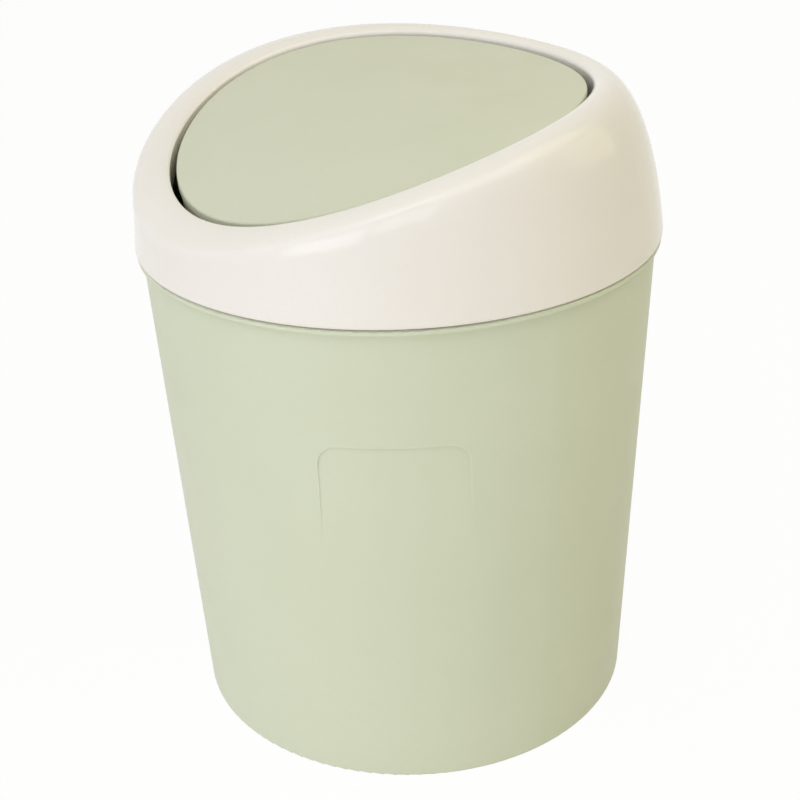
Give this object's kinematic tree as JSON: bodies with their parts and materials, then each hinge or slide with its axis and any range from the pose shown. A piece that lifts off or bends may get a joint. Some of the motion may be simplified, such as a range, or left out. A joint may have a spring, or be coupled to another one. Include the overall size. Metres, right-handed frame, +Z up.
{
  "type": "desktop trash can",
  "caption": "Small round desktop bin: tapered bucket, push-on lid with a slanted arched top, and a round flap that swings in the lid's opening.",
  "frame": {"origin": "middle of the base, on the table", "axes": "+Z up; the low end of the lid's slanted top faces -Y; the flap's pivot runs along X"},
  "size_m": [0.152, 0.152, 0.1922],
  "materials": {
    "bucket": "satin sage green moulding",
    "lid": "glossy cream moulding",
    "flap": "satin sage green moulding",
    "pins": "plain cream moulding"
  },
  "bodies": {
    "bin": {"bin_body": "bucket"},
    "lid": {"lid_cover": "lid"},
    "flap": {"swing_flap": "flap", "pivot_pin_right": "pins", "pivot_pin_left": "pins"}
  },
  "joints": [
    {"name": "lid_lift", "type": "slide", "parent": "bin", "child": "lid", "axis": [0, 0, 1], "range_m": [0, 0.08]},
    {"name": "flap_swing", "type": "hinge", "parent": "lid", "child": "flap", "pos_m": [0, -0.00635, 0.1833], "axis": [1, 0, 0], "range_deg": [-75, 75]}
  ]
}
